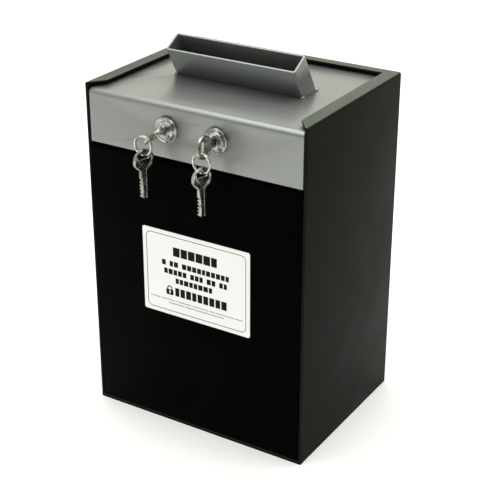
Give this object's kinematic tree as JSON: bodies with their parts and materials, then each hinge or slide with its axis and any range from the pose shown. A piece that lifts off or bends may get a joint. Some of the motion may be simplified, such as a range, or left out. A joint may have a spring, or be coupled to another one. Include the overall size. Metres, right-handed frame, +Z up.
{
  "type": "cash drop box",
  "caption": "Lockable steel cash drop box: open-fronted housing, removable inner box, sliding lid with a slanted deposit chute and two key locks.",
  "frame": {"origin": "centre of the housing's underside", "axes": "+Z up, -Y out of the front, where the locks are, +X to the right of someone facing the front"},
  "size_m": [0.178, 0.1631, 0.2818],
  "materials": {
    "black_powder_coat": "fine-textured black powder coat",
    "black_gloss_coat": "smooth semi-gloss black",
    "silver_lid": "satin silver",
    "notice_vinyl": "printed white vinyl",
    "lock_chrome": "bright chrome",
    "nickel_key": "nickel plate, lightly worn",
    "ring_steel": "nickel-plated spring steel",
    "zinc_steel": "zinc plated",
    "brass_wafer": "plain",
    "white_nylon": "matt"
  },
  "bodies": {
    "housing": {"housing_shell": "black_powder_coat", "housing_floor": "black_powder_coat", "glide_strips": "white_nylon", "bolt_keeper": "zinc_steel"},
    "inner_box": {"box_shell": "black_powder_coat", "box_front": "black_gloss_coat", "notice_plate": "notice_vinyl"},
    "lid": {"lid_cover": "silver_lid", "deposit_chute": "silver_lid", "chute_baffle": "zinc_steel", "lid_guides": "zinc_steel", "bolt_guides": "zinc_steel", "left_lock_body": "lock_chrome", "left_lock_nut": "zinc_steel", "right_lock_body": "lock_chrome", "right_lock_nut": "zinc_steel"},
    "bolt": {"lock_bolt": "zinc_steel"},
    "left_core": {"left_plug": "lock_chrome", "left_wafers": "brass_wafer", "left_cam": "zinc_steel", "left_cam_screw": "zinc_steel"},
    "right_core": {"right_plug": "lock_chrome", "right_wafers": "brass_wafer", "right_cam": "zinc_steel", "right_cam_screw": "zinc_steel", "drive_pin": "zinc_steel"},
    "left_inserted_key": {"left_key": "nickel_key"},
    "right_inserted_key": {"right_key": "nickel_key"},
    "left_ring": {"left_split_ring": "ring_steel"},
    "right_ring": {"right_split_ring": "ring_steel"},
    "left_hanging_key": {"left_spare_key": "nickel_key"},
    "right_hanging_key": {"right_spare_key": "nickel_key"}
  },
  "joints": [
    {"name": "box_slide", "type": "slide", "parent": "housing", "child": "inner_box", "axis": [0, -1, 0], "range_m": [0, 0.132]},
    {"name": "lid_slide", "type": "slide", "parent": "inner_box", "child": "lid", "axis": [0, -1, 0], "range_m": [0, 0.13]},
    {"name": "left_core_turn", "type": "hinge", "parent": "lid", "child": "left_core", "pos_m": [-0.02, -0.0685, 0.234], "axis": [0, 1, 0], "range_deg": [-45, 45]},
    {"name": "right_core_turn", "type": "hinge", "parent": "lid", "child": "right_core", "pos_m": [0.02, -0.0685, 0.234], "axis": [0, 1, 0], "range_deg": [0, 90]},
    {"name": "bolt_throw", "type": "slide", "parent": "lid", "child": "bolt", "axis": [1, 0, 0], "range_m": [0, 0.0156]},
    {"name": "left_key_pull", "type": "slide", "parent": "left_core", "child": "left_inserted_key", "axis": [0, -1, 0], "range_m": [0, 0.016]},
    {"name": "right_key_pull", "type": "slide", "parent": "right_core", "child": "right_inserted_key", "axis": [0, -1, 0], "range_m": [0, 0.016]},
    {"name": "left_ring_swing", "type": "hinge", "parent": "left_inserted_key", "child": "left_ring", "pos_m": [-0.02198, -0.0864, 0.23202], "axis": [0.7071, 0, -0.7071], "range_deg": [-60, 8]},
    {"name": "left_spare_round_ring", "type": "hinge", "parent": "left_ring", "child": "left_hanging_key", "pos_m": [-0.02725, -0.0864, 0.22675], "axis": [0, 1, 0], "range_deg": [-45, 45]},
    {"name": "right_ring_swing", "type": "hinge", "parent": "right_inserted_key", "child": "right_ring", "pos_m": [0.02, -0.0864, 0.2312], "axis": [1, 0, 0], "range_deg": [-60, 8]},
    {"name": "right_spare_round_ring", "type": "hinge", "parent": "right_ring", "child": "right_hanging_key", "pos_m": [0.02, -0.0864, 0.22375], "axis": [0, 1, 0], "range_deg": [-90, 0]}
  ],
  "couplings": [
    {"joint": "bolt_throw", "follows": "right_core_turn", "m_per_rad": 0.0099035},
    {"joint": "left_spare_round_ring", "follows": "left_core_turn", "ratio": -1},
    {"joint": "right_spare_round_ring", "follows": "right_core_turn", "ratio": -1}
  ]
}
